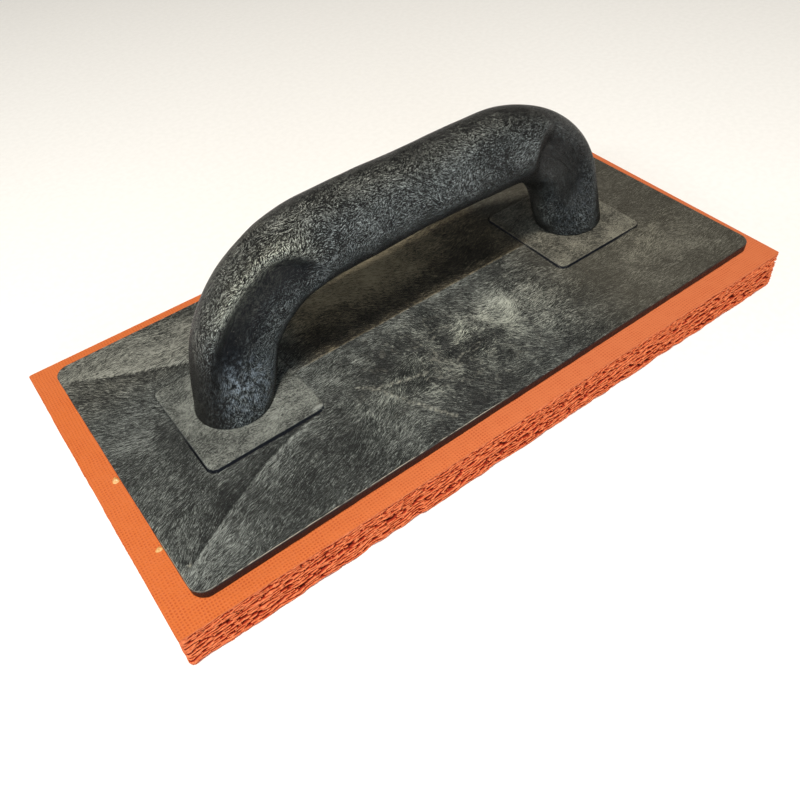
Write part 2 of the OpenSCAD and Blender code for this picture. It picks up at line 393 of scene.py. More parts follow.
def plate_height(x, y, swell):
    """Height of the plate's top over its edge: roof, parting line, seats with grooves, and the ear."""
    top = roof_height(x, y) + 0.07 * swell(x, y)
    # a faint parting line along the ridge
    top = top + 0.1 * bump(y - PARTING_Y, PARTING_HALF) * smooth((x + 64) / 3) * smooth((61 - x) / 3)
    for centre_x in SEAT_X:
        d = seat_distance(x, y, centre_x)
        edge = np.clip(1 + d / 0.45, 0, 1)
        seat = SEAT_RISE - 0.3 * (1 - np.sqrt(1 - edge ** 2)) + 0.02 * swell(y * 1.3, x * 1.3)
        crisp = groove_depth(x, y, centre_x)
        top = np.where(d < 0, seat, top - GROOVE * crisp * bump(d - GROOVE_MID, GROOVE_HALF))
        top = top - 0.12 * crisp * np.exp(-(d / 3) ** 2) * (d > 0)
    return top + EAR_RISE * ear_shape(x, y)


def ear_shape(x, y):
    """A rounded lump of plastic at the near inner corner of the left seat, from 0 to 1."""
    return smooth(1.1 - np.hypot((x - EAR_X) / EAR_HALF_X, (y - EAR_Y) / EAR_HALF_Y))


def grid_lines(low, high, edges):
    """Lines from low to high, spaced evenly but closely where something has a crisp edge."""
    lines = [line for edge, sign in edges for line in edge + sign * EDGE_LINES]
    spaced = np.arange(low, high, GRID_STEP)
    lines += [line for line in spaced if min(abs(line - edge) for edge, _ in edges) > EDGE_REACH]
    lines = np.unique(np.round(lines, 3))
    keep = lines[(lines > low + 0.3) & (lines < high - 0.3)]
    return np.r_[low, keep, high]


def plate_grid():
    """Places on the plate's top in rows and columns, squeezed near its ends to follow the round corners."""
    edges_x = [(c + s * SEAT_L / 2, s) for c in SEAT_X for s in (-1, 1)]
    edges_y = [(s * SEAT_W / 2, s) for s in (-1, 1)]
    straight = TOP_Y - TOP_R
    arc = straight + TOP_R * np.sin(np.radians([12, 25, 38, 50, 62, 74, 83]))
    parting = PARTING_Y + PARTING_HALF * np.array([-1, -3 / 7, 0, 3 / 7, 1])
    xs = grid_lines(-TOP_X, TOP_X, edges_x)
    ys = np.r_[-TOP_Y, -arc, grid_lines(-straight, straight, edges_y), arc, TOP_Y, parting]
    x, y = np.meshgrid(xs, np.unique(np.round(ys, 3)))
    over = np.clip(np.abs(y) - straight, 0, TOP_R)
    reach = TOP_X - (TOP_R - np.sqrt(np.maximum(TOP_R ** 2 - over ** 2, 0)))
    knee = TOP_X - SQUEEZED
    squeezed = knee + (np.abs(x) - knee) * (reach - knee) / SQUEEZED
    return np.where(np.abs(x) > knee, np.sign(x) * squeezed, x), y


def rim_normals(x, y):
    """Which way is outward at points on the rim of the plate's top."""
    nx = np.maximum(np.abs(x) - (TOP_X - TOP_R), 0) * np.sign(x)
    ny = np.maximum(np.abs(y) - (TOP_Y - TOP_R), 0) * np.sign(y)
    size = np.hypot(nx, ny)
    return nx / size, ny / size


def plate_side(x, y, fray, patchy):
    """The rings of the plate's side below the rim at x and y, and how much painted highlight the burr has
    on their points.
    """
    nx, ny = rim_normals(x, y)
    # the burr left by the mould is strongest along the near edge, from the left corner on
    strength = BURR_LEAST + BURR_MORE * smooth((20 - x) / 60) * smooth((-y - 30) / 15)
    burr = strength * np.clip(0.85 + 0.35 * fray(x, y) + 0.35 * patchy(x, y), 0, 1.3)
    glare = np.clip(burr * 9 - 0.7, 0, 1)
    uneven = 0.06 * (fray(x * 0.5, y * 0.5) - 1)
    rings, burr_glares = [], []
    for out, level, share, glare_share in SIDE_PROFILE:
        outward = out + (uneven if level < PLATE_TOP - 0.3 else 0)
        rings.append(np.c_[x + nx * outward, y + ny * outward, level + share * burr])
        burr_glares.append(glare_share * glare)
    return rings, burr_glares


def plate_values(x, y, burr):
    """The named values that the plate's material uses at each point."""
    groove, lip_highlight, seat = 0, 0, 0
    for centre_x in SEAT_X:
        d = seat_distance(x, y, centre_x)
        groove = groove + groove_depth(x, y, centre_x) * bump(d - GROOVE_MID, GROOVE_HALF)
        lip_highlight = lip_highlight + 0.07 * bump(d + 0.3, 0.5)
        seat = seat + smooth(-d / 0.5)
    parting = bump(y - PARTING_Y, PARTING_HALF) * smooth((x + 62) / 5) * smooth((60 - x) / 5)
    return {
        "groove": groove,
        # painted highlights on the seats' rounded rims and on the ear
        "lip_highlight": np.maximum(lip_highlight, 0.5 * ear_shape(x, y)),
        "burr": burr,
        "flow": flow_angle(x, y),
        "weld": np.maximum(weld_marks(x, y), 0.45 * parting),
        "seat": seat,
        "tone": painted_sheen_and_shade(x, y),
        "warm": warm_bounce_and_tint(x, y),
        "stir": stirred(x, y),
        "calm": calmness(x)}


def plate_piece(material):
    rng = np.random.default_rng(SEED + 1)
    swell = waves(rng, 16, 14, 60, 2)
    fray = waves(rng, 40, 0.8, 9, 2)
    patchy = waves(rng, 20, 6, 50, 2)
    x, y = plate_grid()
    top = np.dstack([x, y, plate_height(x, y, swell) + PLATE_TOP]).reshape(-1, 3)
    number = np.arange(x.size).reshape(x.shape)
    a, b = number[:-1, :-1].ravel(), number[:-1, 1:].ravel()
    c, d = number[1:, 1:].ravel(), number[1:, :-1].ravel()
    faces = np.c_[a, b, c, d].tolist()

    rim = np.r_[number[0, :-1], number[:-1, -1], number[-1, :0:-1], number[:0:-1, 0]]
    rings, burr_glares = plate_side(top[rim, 0], top[rim, 1], fray, patchy)
    side = len(top) + np.arange(len(rings) * len(rim)).reshape(len(rings), len(rim))
    faces += ring_faces([*side[::-1], rim])
    faces.append(side[-1][::-1].tolist())

    points = np.concatenate([top, *rings])
    points[:, 0] -= drawn_in(points[:, 0])
    burr = np.concatenate([np.zeros(len(top)), *burr_glares])
    extra = plate_values(points[:, 0], points[:, 1], burr)
    piece = make_piece("plastic_plate", to_row(points), faces, material, extra, 40)
    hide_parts("float_plate")


def flow_angle(x, y):
    """Which way the moulding streaks run on the plate, as an angle from +X in radians."""
    fan = np.arctan2(y * 0.9, x + 83)
    fan = np.where(np.cos(fan) < 0, fan + math.pi, fan)
    beside = smooth((np.abs(y) - left_crease(x) + 3) / 6)
    # pairs of weight and angle
    parts = [
        (3.0 * smooth((-100 - x) / 20) * (1 - beside), fan),
        (3.0 * smooth((-70 - x) / 15) * beside, np.where(y < 0, math.radians(28), math.radians(-4))),
        (1.6 * bump(x + 75, 60) * smooth((-y - 20) / 20), np.radians(18 + 22 * smooth((x + 75) / 35))),
        (1.6 * bump(x + 10, 45), math.radians(-40)),
        (2.6 * smooth((x - 40) / 25), math.radians(-4)),
        (0.4, np.radians(10 + 0.25 * y)),
    ]
    c = sum(w * np.cos(2 * a) for w, a in parts)
    s = sum(w * np.sin(2 * a) for w, a in parts)
    return np.arctan2(s, c) / 2


# broad areas of painted sheen (+) and painted shade (-) on the plate: middle x and y, half-widths in x and
# y, strength
SHEEN_AND_SHADE_AREAS = (
    (-104, 48, 30, 13, 0.27),
    (-122, -52, 16, 8, 0.20),
    (-125, 14, 7, 16, 0.06),
    (-112, 0, 5, 16, -0.35),
    (-116, -32, 16, 9, -0.22),
    (-60, -40, 12, 12, -0.25),
    (-34, -20, 7, 4, -0.50),
    (2, -35, 7, 4, -0.45),
    (10, -45, 6, 3, -0.35),
    (23, -25, 15, 9, 0.34),
    (16, -40, 7, 3, 0.30),
    (-27, -34, 10, 8, -0.42),
    (-12, 26, 46, 14, 0.72),
    (4, -57, 44, 4, -0.25),
    (100, -36, 16, 14, 0.28),
    (60, -40, 16, 8, -0.14),
    (81, 0, 30, 30, -0.16),
    (-70, -14, 12, 12, 0.30),
)


def painted_sheen_and_shade(x, y):
    """How much paler or darker the plate is painted here than on average, about -0.5 to 0.5: painted sheen
    and shade, with the creases' painted light and the grip's painted shadow.
    """
    total = crease_tone(x, y) - 0.18 * grip_shadow_behind_ridge(x, y)
    for mid_x, mid_y, half_x, half_y, strength in SHEEN_AND_SHADE_AREAS:
        total += strength * np.exp(-((x - mid_x) / half_x) ** 2 - ((y - mid_y) / half_y) ** 2)
    return total


def grip_shadow_behind_ridge(x, y):
    """Painted shade of the grip's shadow: 1 just behind the ridge line, under the grip, fading towards the
    far edge and both seats.
    """
    along = smooth((x + 66) / 12) * smooth((64 - x) / 12)
    return along * smooth((y + 1.6) / 0.8) * (1 - 0.95 * smooth((y - 4) / 20))


def warm_bounce_and_tint(x, y):
    """How brownish the plate is painted, from 0 to 1: most behind the ridge, as painted warm bounce light
    in the grip's shadow, and a little at the right end and far left as a browner tint.
    """
    under = smooth((x + 62) / 20) * smooth((70 - x) / 20) * smooth((y + 2.0) / 1.2)
    right = 0.38 * smooth((x - 18) / 50)
    far_left = 0.25 * smooth((y - 20) / 20) * smooth((-60 - x) / 20)
    return np.clip(np.maximum(under, right) + far_left, 0, 1)


def calmness(x):
    """How smooth the streaks are, from 0 to 1: the right end is the calmest."""
    return smooth((x - 38) / 34)


def stirred(x, y):
    """How much the melt was stirred here, from 0 to 1: a swirl in the middle of the near side."""
    middle = np.exp(-((x + 4) / 42) ** 2 - ((y + 30) / 22) ** 2)
    return np.clip(middle + 0.35 * np.exp(-((x - 96) / 26) ** 2 - ((y + 30) / 16) ** 2), 0, 1)


WELD_LINES = (
    ((-132.4, -52.5), (-130.6, -51.2), (-129.0, -50.8)),
    ((-47, -23), (-42, -27), (-38, -36), (-34, -44), (-27, -57)),
    ((-43, -28), (-35, -30), (-22, -34)),
)


def weld_marks(x, y):
    """Where the pale hair-thin weld lines of the moulding are, from 0 to 1."""
    nearest = np.full(x.shape, 99.0)
    for line in WELD_LINES:
        for (ax, ay), (bx, by) in zip(line, line[1:]):
            run, rise = bx - ax, by - ay
            along = ((x - ax) * run + (y - ay) * rise) / (run ** 2 + rise ** 2)
            along = np.clip(along, 0, 1)
            nearest = np.minimum(nearest, np.hypot(x - ax - along * run, y - ay - along * rise))
    return bump(nearest, 0.8)


# ---------------------------------------------------------------- handle

LEG_LEN = (GRIP_H - BEND_R * (1 - math.sin(LEG_LEAN))) / math.cos(LEG_LEAN)
BEND_LEN = BEND_R * (math.pi / 2 - LEG_LEAN)
SIDE_LEN = LEG_LEN + BEND_LEN
BEND_CX = FOOT_X - LEG_LEN * math.sin(LEG_LEAN) - BEND_R * math.cos(LEG_LEAN)
HALF_LEN = SIDE_LEN + BEND_CX
# the left leg is a little fuller on its outer side
LEFT_BULGE, BULGE_MID, BULGE_REACH = 1.7, 34, 38
TUCK, TUCK_H = 0.28, 0.4
HANDLE_AROUND = 168
# the rings near a foot, by their distance up the leg
FOOT_RINGS = (0, 0.25, 0.5, 0.8, 1.2, 1.8, 2.6)
LEG_RINGS_FROM, RING_STEP = 3.4, 0.85
# the handle's mean radius, to measure round it in millimetres
GIRTH_SCALE = 15


def handle_axis(s):
    """The middle line's place and direction, at distance s along one half from its foot."""
    on_leg, on_bend = s < LEG_LEN, s < SIDE_LEN
    a = np.where(on_leg, LEG_LEAN, np.where(on_bend, LEG_LEAN + (s - LEG_LEN) / BEND_R, math.pi / 2))
    x = np.where(on_leg, FOOT_X - s * math.sin(LEG_LEAN), BEND_CX + BEND_R * np.cos(a))
    z = np.where(on_leg, s * math.cos(LEG_LEAN), GRIP_H - BEND_R + BEND_R * np.sin(a))
    return np.where(on_bend, x, HALF_LEN - s), np.where(on_bend, z, GRIP_H), a


def scoop(s, v, wall_width):
    """How deep the hollow in each side of a leg is, at distance s up the leg and v across it."""
    edge = np.hypot((v - SCOOP_MID) / SCOOP_HALF, np.maximum(0, s - SCOOP_END) / SCOOP_ROUND)
    wall = np.clip((1 - edge) * SCOOP_HALF / wall_width, 0, 1)
    fade = np.clip((SCOOP_FADE_FROM - v) / SCOOP_FADE, 0, 1)
    shape = 0.45 * wall * (2 - wall) + 0.55 * smooth(wall)
    return SCOOP_DEPTH * shape * np.cos(math.pi / 2 * fade) ** 2 * smooth((s - SCOOP_FOOT) / SCOOP_RAMP)


def hollowed(w, depth):
    """The distance w from the handle's middle plane, made smaller by a hollow of this depth."""
    return np.sign(w) * np.maximum(0, np.abs(w) - depth)


def handle_half(s, phi, v, w, hollow, bulge):
    """The right half of the handle with this hollow in its sides, and fuller by bulge on its outer side."""
    x, z, a = handle_axis(s)
    bow = GRIP_ARCH * np.cos(math.pi / 2 * x / FOOT_X) ** 2 * np.clip(z / 40, 0, 1)
    fuller = bulge * bump(s - BULGE_MID, BULGE_REACH) * np.clip(np.cos(phi), 0, 1)
    # a hairline step where the foot meets its seat
    tuck = np.where(s < TUCK_H, TUCK, 0.0)
    return np.dstack([
        x + (v + fuller) * np.cos(a) - tuck * np.cos(phi),
        hollowed(w, hollow) - tuck * np.sin(phi),
        z + bow + (v * smooth(s / 12) + fuller) * np.sin(a)])


def both_halves(right, left):
    """One value per point of the whole handle, from the values of its halves, which start at their feet."""
    joined = np.concatenate([right, left[::-1][1:]])
    return joined.reshape(-1, *joined.shape[2:])


def handle_values(s, phi, v, right_x, right_scoop, left_scoop):
    """The named values that the handle's material uses at each point."""
    girth = (phi + math.pi / 2) * GIRTH_SCALE
    zero = np.zeros_like(s)
    out = np.cos(phi)
    outer = (0.35 + 0.65 * smooth((v + 6) / 12)) / SCOOP_DEPTH
    foot_sides = 0.85 * np.clip(np.abs(np.sin(phi)) * 1.6 - 0.7, 0, 1) * bump(s - 14, 15)
    on_bend = smooth((s - 26) / 16) * smooth((72 - s) / 20)
    shine = on_bend * smooth((out - 0.1) / 0.4) * smooth((1.02 - out) / 0.3)
    low_edge = 0.75 * smooth((34 - s) / 16) * smooth((out - 0.3) / 0.5)
    # painted shade: the right leg is dim, and so is the grip's underside at its very middle; on the left
    # half, the leg's low outer side
    right_shade = np.where(right_x > 0, 0.26 * smooth((right_x - 30) / 30), 0.25)
    return {
        "skin": both_halves(np.dstack([s, girth, zero]), np.dstack([2 * HALF_LEN - s, girth, zero])),
        "hollow": both_halves(0.72 * right_scoop * outer, left_scoop * outer),
        "scuff_and_cool_light": both_halves(0.3 * foot_sides, foot_sides),
        "glint": both_halves(zero, shine),
        "painted_shade": both_halves(right_shade, low_edge)}


def handle_piece(material):
    rng = np.random.default_rng(SEED + 2)
    swell = waves(rng, 18, 9, 40, 3)
    along = np.r_[FOOT_RINGS, np.arange(LEG_RINGS_FROM, HALF_LEN, RING_STEP), HALF_LEN]
    turn = np.arange(HANDLE_AROUND) * 2 * math.pi / HANDLE_AROUND
    s, phi = np.meshgrid(along, turn - math.pi / 2, indexing="ij")
    grown = smooth((s - 0.15 * SIDE_LEN) / (0.85 * SIDE_LEN))
    waist = GRIP_WAIST * smooth((s - SIDE_LEN) / BEND_CX) ** 2
    half_thick = LEG_HALF_X + (GRIP_HALF_Z - LEG_HALF_X) * grown - waist
    half_wide = LEG_HALF_Y + (GRIP_HALF_Y - LEG_HALF_Y) * grown + FOOT_SPREAD * np.exp(-(s / 7) ** 2)
    v = half_thick * np.cos(phi)
    w = half_wide * np.sin(phi)
    right_scoop, left_scoop = scoop(s, v, SOFT_SCOOP_WALL), scoop(s, v, SCOOP_WALL)
    right = handle_half(s, phi, v, w, right_scoop, 0)
    left = handle_half(s, phi, v, w, left_scoop, LEFT_BULGE)
    points = both_halves(right, left * (-1, 1, 1)) + (0, HANDLE_OFF_Y, SEAT_TOP)
    swollen = 0.1 * swell(*points.T)
    points[:, 2] += swollen * smooth((points[:, 2] - SEAT_TOP - 4) / 8)
    faces = capped_faces(np.arange(len(points)).reshape(-1, HANDLE_AROUND))
    extra = handle_values(s, phi, v, right[..., 0], right_scoop, left_scoop)
    piece = make_piece("grip_handle", to_row(points), faces, material, extra, 50)
    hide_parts("handle")


# ---------------------------------------------------------------- glue

GLUE_INSET, GLUE_R, GLUE_AROUND = 1.5, 4.2, 900
# the rings of the glue's edge, upward: how far in they lie, and their height
GLUE_RINGS = ((0.0, PAD_HIGH[2]), (0.0, PAD_HIGH[2] + 0.12), (0.25, PLATE_BASE + 0.02))
# the drops beside the plate's left edge: place along the edge, length and half-width
GLUE_DROPS = ((-0.6, 3.0, 1.15), (-36.5, 1.9, 1.2))
DROP_X, DROP_H = -PLATE_L / 2 - 1.2, 0.75


def glue_piece(material):
    rng = np.random.default_rng(SEED + 3)
    lump = waves(rng, 24, 2, 30, 2)
    length, width = PLATE_L - 2 * GLUE_INSET, PLATE_W - 2 * GLUE_INSET
    outline, normal, _ = rounded_loop(length, width, GLUE_R, GLUE_AROUND)
    edge = 0.45 * lump(outline[:, 0], outline[:, 1])
    points = []
    for inset, level in GLUE_RINGS:
        ring = outline + normal * (edge - inset)[:, None]
        ring[:, 0] -= drawn_in(ring[:, 0])
        points.append(np.c_[ring, np.full(GLUE_AROUND, level)])
    total = len(GLUE_RINGS) * GLUE_AROUND
    faces = capped_faces(np.arange(total).reshape(-1, GLUE_AROUND))
    for y, drop_length, drop_width in GLUE_DROPS:
        drop, drop_faces = glue_drop(rng, y, drop_length, drop_width)
        points.append(drop)
        faces += [[i + total for i in f] for f in drop_faces]
        total += len(drop)
    piece = make_piece("glue_squeeze_out", to_row(np.concatenate(points)), faces, material, {}, 50)
    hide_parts("glue_film")


def glue_drop(rng, y, length, width):
    """A low lumpy drop of glue with a pointed tail, lying on the pad beside the plate."""
    lump = waves(rng, 12, 0.8, 4, 3)
    rings, around = 12, 28
    up = (math.pi / 2 * np.arange(rings) / rings)[:, None]
    turn = np.arange(around) * 2 * math.pi / around
    reach = np.cos(up)
    px = width * reach * np.cos(turn) * (1 - 0.35 * np.sin(turn))
    py = length / 2 * reach * np.sin(turn)
    pz = DROP_H * np.sin(up) * (1 - 0.5 * np.abs(np.sin(turn)) * reach)
    tip = rings * around
    points = np.r_[np.dstack([px, py, pz]).reshape(-1, 3), [[0, 0, DROP_H]]] + (DROP_X, y, PAD_HIGH[2])
    wobble = lump(*points.T)
    points[:, 0] += 0.25 * wobble
    points[:, 1] += 0.3 * wobble[::-1]
    numbers = np.arange(tip).reshape(rings, around)
    faces = ring_faces(list(numbers))
    faces += np.c_[numbers[-1], np.roll(numbers[-1], -1), np.full(around, tip)].tolist()
    faces.append(numbers[0][::-1].tolist())
    return points, faces


# ---------------------------------------------------------------- materials

CLOTH_PITCH = 1.12


def to_linear(r, g, b):
    """A colour given the way a paint program shows it, 0 to 255, as the shader's own values."""
    values = [c / 255 for c in (r, g, b)]
    return tuple(c / 12.92 if c <= 0.04045 else ((c + 0.055) / 1.055) ** 2.4 for c in values) + (1.0,)


class Paint:
    """Short names for the shader nodes used here."""

    def __init__(self, name):
        self.material = bpy.data.materials.new(name)
        self.material.use_nodes = True
        self.tree = self.material.node_tree
        self.shader = self.tree.nodes["Principled BSDF"]

    def node(self, kind, settings=None, inputs=None):
        """A new shader node with these properties, and with these values or links at its inputs."""
        made = self.tree.nodes.new(kind)
        for key, value in (settings or {}).items():
            setattr(made, key, value)
        for key, value in (inputs or {}).items():
            self.feed(made.inputs[key], value)
        return made

    def feed(self, socket, value):
        if isinstance(value, bpy.types.NodeSocket):
            self.tree.links.new(value, socket)
        else:
            socket.default_value = value

    def place(self):
        """Position in millimetres."""
        coordinates = self.node("ShaderNodeTexCoord")
        return self.scaled(coordinates.outputs["Object"], 1 / MM)

    def attribute(self, name, part="Fac"):
        return self.node("ShaderNodeAttribute", {"attribute_name": name}).outputs[part]

    def math(self, operation, a, b=0.0, c=0.0):
        return self.node("ShaderNodeMath", {"operation": operation}, {0: a, 1: b, 2: c}).outputs[0]

    def vector(self, operation, a, b):
        return self.node("ShaderNodeVectorMath", {"operation": operation}, {0: a, 1: b}).outputs[0]

    def scaled(self, vector, scale):
        made = self.node("ShaderNodeVectorMath", {"operation": "SCALE"}, {0: vector, "Scale": scale})
        return made.outputs[0]

    def noise(self, place, size, detail=2.0, roughness=0.5, distortion=0.0):
        """Noise of about 0 to 1 whose lumps are this many millimetres across."""
        made = self.node("ShaderNodeTexNoise", None, {
            "Vector": place, "Scale": 1 / size, "Detail": detail, "Roughness": roughness,
            "Distortion": distortion})
        return made.outputs["Fac"]

    def sway(self, value, amount):
        """Noise of 0 to 1 made into values from -amount to amount."""
        return self.math("MULTIPLY_ADD", value, 2 * amount, -amount)

    def weighted(self, *terms):
        """The sum of the values in these pairs, each times its weight."""
        total = 0.0
        for value, weight in terms:
            total = self.math("MULTIPLY_ADD", value, weight, total)
        return total

    def ramp(self, value, low, high, to_low=0.0, to_high=1.0):
        """Rises smoothly from to_low to to_high while the value goes from low to high."""
        made = self.node("ShaderNodeMapRange", {"interpolation_type": "SMOOTHSTEP"}, {
            "Value": value, "From Min": low, "From Max": high, "To Min": to_low, "To Max": to_high})
        return made.outputs["Result"]

    def mix(self, share, a, b, blend="MIX"):
        """Colour a with this share of colour b over it."""
        made = self.node("ShaderNodeMix", {"data_type": "RGBA", "blend_type": blend})
        self.feed(made.inputs[0], share)
        self.feed(made.inputs[6], a)
        self.feed(made.inputs[7], b)
        return made.outputs[2]

    def bump(self, height, distance):
        """A rough surface whose height of 0 to 1 stands for this many millimetres."""
        made = self.node("ShaderNodeBump", None, {
            "Height": height, "Distance": distance * MM, "Strength": 1.0})
        return made.outputs["Normal"]

    def hairs(self, place, flow, cell, length, width, wander):
        """Short hair-like strokes, about as long and wide as given, that follow the flow angle.

        Each cell turns its strokes by its own amount, up to wander in radians.
        """
        cells = self.node("ShaderNodeTexVoronoi", None, {"Vector": place, "Scale": 1 / cell})
        own = self.node("ShaderNodeSeparateColor", None, {0: cells.outputs["Color"]})
        local = self.vector("SUBTRACT", place, cells.outputs["Position"])
        jitter = self.sway(own.outputs[0], wander)
        angle = self.math("MULTIPLY", self.math("ADD", flow, jitter), -1.0)
        turned = self.node("ShaderNodeVectorRotate", {"rotation_type": "Z_AXIS"}, {
            "Vector": local, "Angle": angle})
        stretched = self.vector("MULTIPLY", turned.outputs[0], (1 / length, 1 / width, 1 / length))
        apart = self.scaled(cells.outputs["Color"], 57.0)
        return self.noise(self.vector("ADD", stretched, apart), 1.0, 2.0, 0.55)

    def finish(self, color, roughness, normal, **constants):
        """Feeds the shader, whose other inputs are given by name, and returns the material."""
        self.feed(self.shader.inputs["Base Color"], color)
        self.feed(self.shader.inputs["Roughness"], roughness)
        self.feed(self.shader.inputs["Normal"], normal)
        for key, value in constants.items():
            self.shader.inputs[key.replace("_", " ")].default_value = value
        return self.material


def cloth_print(p, place, x, y):
    """The print of the cloth that the rubber's skin was pressed against, from 0 to 1."""
    wobble = p.sway(p.noise(place, 9.0), 0.8)
    threads = []
    for across in (x, y):
        turns = p.math("MULTIPLY", p.math("ADD", across, wobble), 2 * math.pi / CLOTH_PITCH)
        threads.append(p.math("ADD", p.math("SINE", turns), 1.0))
    return p.ramp(p.math("MULTIPLY", *threads), 0.4, 3.4)


def rubber_paint():
    """Orange sponge rubber: a cloth-printed skin, and torn cells on the cut sides, whose insides are
    painted red and then nearly black as shade by depth.
    """
    p = Paint("orange_sponge_rubber")
    place = p.place()
    cut = p.attribute("cut")
    pore = p.attribute("pore")
    x, y = p.node("ShaderNodeSeparateXYZ", None, {0: place}).outputs[:2]
    cloth = cloth_print(p, place, x, y)
    orange, salmon = to_linear(206, 106, 48), to_linear(208, 113, 70)
    printed, bleached, chalky = to_linear(176, 68, 26), to_linear(212, 118, 68), to_linear(212, 118, 72)
    web_dark, web_pale = to_linear(200, 92, 47), to_linear(234, 131, 82)
    cell_shade_red, cell_shade_black = to_linear(158, 44, 14), to_linear(84, 12, 1)
    # more saturated towards the left end, more salmon towards the right
    skin = p.mix(p.ramp(x, -150.0, 60.0), orange, salmon)
    worn_cloth = p.ramp(p.noise(place, 5.0, 3.0, 0.6), 0.35, 0.65, 0.15, 0.75)
    skin = p.mix(p.math("MULTIPLY", cloth, worn_cloth), skin, printed)
    skin = p.mix(p.ramp(p.noise(place, 0.9, 3.0, 0.6), 0.42, 0.70, 0.0, 0.30), skin, chalky)
    skin = p.mix(p.ramp(p.noise(place, 45.0, 2.0), 0.3, 0.7, 0.0, 0.18), skin, bleached)
    # the webs between the cells are pale, and the cells are painted with shade by depth, red and then
    # nearly black further inside
    web = p.mix(p.ramp(p.noise(place, 1.4, 3.0), 0.3, 0.7), web_dark, web_pale)
    inside = p.mix(p.ramp(pore, 0.5, 1.6), cell_shade_red, cell_shade_black)
    torn = p.mix(p.ramp(pore, 0.10, 0.42), web, inside)
    color = p.mix(cut, skin, torn)
    pressed = p.math("MULTIPLY", p.math("SUBTRACT", 1.0, cut), cloth)
    height = p.weighted((pressed, -0.5), (p.noise(place, 0.5, 3.0, 0.6), 0.6))
    return p.finish(color, 0.82, p.bump(height, 0.25), Specular_IOR_Level=0.3)


def plate_streaks(p, place, stir):
    """The coarse, medium and fine streaks, turned with the flow and swirled where the melt was stirred."""
    drift = p.sway(p.noise(place, 20.0, 2.0), 0.66)
    swirl = p.math("MULTIPLY", p.sway(p.noise(place, 16.0, 3.0), 3.5), stir)
    angle = p.math("ADD", p.attribute("flow"), p.math("ADD", drift, swirl))
    coarse = p.hairs(place, angle, 7.0, 3.6, 0.19, 0.15)
    medium = p.hairs(place, angle, 4.2, 2.2, 0.15, 0.32)
    fine = p.hairs(place, angle, 2.2, 1.2, 0.12, 0.80)
    return coarse, medium, fine


def melt_threads(p, place, stir):
    """Thin pale threads along the weld lines and where the melt folded over, from 0 to 1."""
    fold = p.math("ABSOLUTE", p.math("SUBTRACT", p.noise(place, 15.0, 3.0, 0.6, 0.8), 0.5))
    fold = p.math("MULTIPLY", p.ramp(fold, 0.0, 0.022, 1.0, 0.0), stir)
    return p.math("MAXIMUM", p.math("MULTIPLY", fold, 0.55), p.attribute("weld"))


def plate_paint():
    """Dark grey moulded foam plastic, with pale hair-like flow streaks."""
    p = Paint("grey_streaked_plate_plastic")
    place = p.place()
    stir, sheen_and_shade = p.attribute("stir"), p.attribute("tone")
    dark, middle = to_linear(20, 22, 23), to_linear(76, 80, 78)
    pale = p.mix(stir, to_linear(156, 162, 158), to_linear(184, 188, 174))
    calm_grey = to_linear(84, 84, 78)
    seat_dark, seat_pale = to_linear(34, 37, 37), to_linear(150, 154, 147)
    thread_pale, rim_highlight_colour = to_linear(190, 190, 176), to_linear(188, 192, 186)
    groove_shade_black, side_shade_black = to_linear(14, 15, 16), to_linear(18, 21, 28)
    burr_highlight = to_linear(232, 224, 204)
    brownish = (1.16, 0.92, 0.66, 1.0)

    coarse, medium, fine = plate_streaks(p, place, stir)
    strokes = p.weighted((coarse, 0.34), (medium, 0.40), (fine, 0.26))
    patches = p.sway(p.noise(place, 8.0, 4.0, 0.65), 0.5)
    broad = p.sway(p.noise(place, 30.0, 2.0), 0.06)
    patch_share = p.math("MULTIPLY_ADD", stir, 0.20, 0.12)
    level = p.math("MULTIPLY_ADD", patches, patch_share, p.math("ADD", strokes, broad))
    # the tone takes in the plate's painted sheen and shade
    tone = p.ramp(p.math("MULTIPLY_ADD", sheen_and_shade, 0.13, level), 0.435, 0.63)
    color = p.mix(p.ramp(tone, 0.0, 0.55), dark, middle)
    color = p.mix(p.ramp(tone, 0.5, 1.0), color, pale)
    speck = p.noise(place, 0.5, 3.0, 0.7)
    color = p.mix(p.ramp(speck, 0.60, 0.75, 0.0, 0.5), color, pale)
    color = p.mix(p.math("MULTIPLY", p.attribute("calm"), 0.42), color, calm_grey)
    # the seats have a finer, blotchier grain, with a little of the painted sheen and shade
    seat_level = p.weighted((fine, 0.35), (medium, 0.35), (speck, 0.3), (patches, 0.24), (sheen_and_shade, 0.10))
    seat_tone = p.mix(p.ramp(seat_level, 0.455, 0.55), seat_dark, seat_pale)
    color = p.mix(p.math("MULTIPLY", p.attribute("seat"), 0.62), color, seat_tone)
    threads = melt_threads(p, place, stir)
    broken = p.ramp(p.noise(place, 1.3, 3.0, 0.7), 0.40, 0.62, 0.0, 0.6)
    color = p.mix(p.math("MULTIPLY", threads, broken), color, thread_pale)
    # painted shade in the grooves round the seats
    color = p.mix(p.math("MULTIPLY", p.attribute("groove"), 0.75), color, groove_shade_black)
    # painted highlights on the seats' rims and on the ear
    color = p.mix(p.attribute("lip_highlight"), color, rim_highlight_colour)
    # painted warm bounce light in the grip's shadow behind the ridge, and a browner tint at the right end
    # and far left
    color = p.mix(p.attribute("warm"), color, p.mix(1.0, color, brownish, "MULTIPLY"))
    # the plate's side is closed, and painted nearly black as shade where it faces sideways; above it the
    # burr is painted pale as a highlight
    up = p.node("ShaderNodeSeparateXYZ", None, {0: p.node("ShaderNodeNewGeometry").outputs["Normal"]})
    color = p.mix(p.ramp(up.outputs[2], 0.35, 0.85), side_shade_black, color)
    # painted highlight along the burr
    color = p.mix(p.math("MULTIPLY", p.attribute("burr"), 0.95), color, burr_highlight)
    normal = p.bump(p.weighted((strokes, 1.0), (speck, 0.35), (threads, 0.3)), 0.45)
    rough = p.ramp(strokes, 0.40, 0.60, 0.46, 0.28)
    return p.finish(color, rough, normal, Specular_IOR_Level=0.28)


